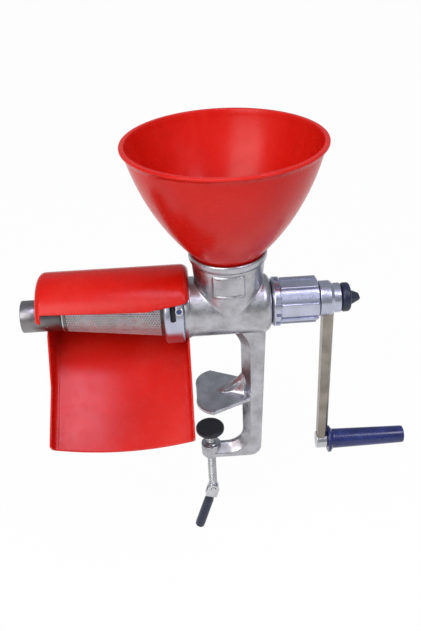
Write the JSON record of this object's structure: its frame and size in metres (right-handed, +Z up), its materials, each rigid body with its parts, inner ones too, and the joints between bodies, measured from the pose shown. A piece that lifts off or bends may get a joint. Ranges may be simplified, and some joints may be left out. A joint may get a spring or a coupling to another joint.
{
  "type": "tomato strainer with crank",
  "caption": "Hand-cranked tomato strainer with a red funnel, perforated cone, splash guard, juice chute and a screw clamp for a table edge.",
  "frame": {"origin": "on the underside of the clamp jaw, where it rests on the table, directly below the feed neck's axis", "axes": "+X along the barrel axis towards the crank, +Z up along the feed neck, -Y towards the side the juice chute slopes to"},
  "size_m": [0.4778, 0.2232, 0.581],
  "materials": {
    "cast_body": "tinned cast metal, satin with fine casting texture",
    "cast_ring": "smooth die-cast metal, satin",
    "strainer_steel": "rolled stainless sheet",
    "steel": "zinc plated",
    "arm_steel": "plated bar, slightly dull",
    "red_plastic": "moulded, soft gloss",
    "black_plastic": "moulded, satin",
    "white_plastic": "moulded",
    "bronze": "sintered bearing",
    "rubber": "matte"
  },
  "bodies": {
    "root": {"body_casting": "cast_body", "shaft_bush": "bronze", "rear_seal": "rubber", "bearing_ring": "cast_ring", "fluted_sleeve": "cast_ring", "strainer_cone": "strainer_steel", "outlet_pipe": "strainer_steel", "strainer_gasket": "rubber", "barrel_studs": "steel", "juice_chute": "red_plastic"},
    "lock_ring": {"bayonet_ring": "cast_ring", "ring_lock_screw": "steel"},
    "crank": {"auger": "white_plastic", "auger_shaft": "steel", "thrust_washer": "steel", "hub_washer": "black_plastic", "crank_hub": "cast_ring", "crank_arm": "arm_steel", "grip_pin": "steel"},
    "grip": {"grip": "black_plastic"},
    "thumb_screw": {"thumb_screw": "black_plastic", "thumb_stud": "steel"},
    "funnel": {"funnel": "red_plastic"},
    "guard": {"splash_guard": "red_plastic"},
    "pad": {"clamp_pad": "black_plastic", "pad_cup": "steel"},
    "clamp_screw": {"clamp_screw": "steel", "pivot_rivet": "steel"},
    "handle": {"handle_clevis": "steel", "handle_sleeve": "black_plastic"}
  },
  "joints": [
    {"name": "crank_spin", "type": "hinge", "parent": "root", "child": "crank", "pos_m": [0.1, 0, 0.134], "axis": [1, 0, 0], "continuous": true},
    {"name": "grip_spin", "type": "hinge", "parent": "crank", "child": "grip", "pos_m": [0.18, 0, -0.091], "axis": [1, 0, 0], "continuous": true},
    {"name": "thumb_screw_turn", "type": "hinge", "parent": "crank", "child": "thumb_screw", "pos_m": [0.14, 0, 0.134], "axis": [1, 0, 0], "range_deg": [0, 330]},
    {"name": "ring_turn", "type": "hinge", "parent": "root", "child": "lock_ring", "pos_m": [-0.067, 0, 0.134], "axis": [1, 0, 0], "range_deg": [-45, 0]},
    {"name": "funnel_lift", "type": "slide", "parent": "root", "child": "funnel", "axis": [0, 0, 1], "range_m": [0, 0.09]},
    {"name": "guard_lift", "type": "slide", "parent": "root", "child": "guard", "axis": [0, 0, 1], "range_m": [0, 0.02]},
    {"name": "clamp_travel", "type": "slide", "parent": "root", "child": "pad", "axis": [0, 0, 1], "range_m": [-0.0096, 0.0426]},
    {"name": "screw_turn", "type": "hinge", "parent": "pad", "child": "clamp_screw", "pos_m": [-0.0315, 0, -0.116], "axis": [0, 0, 1], "range_deg": [-1080, 5040]},
    {"name": "handle_fold", "type": "hinge", "parent": "clamp_screw", "child": "handle", "pos_m": [-0.0315, 0, -0.168], "axis": [0, 1, 0], "range_deg": [-105, 70]}
  ],
  "couplings": [
    {"joint": "clamp_travel", "follows": "screw_turn", "m_per_rad": 0.00047746}
  ]
}
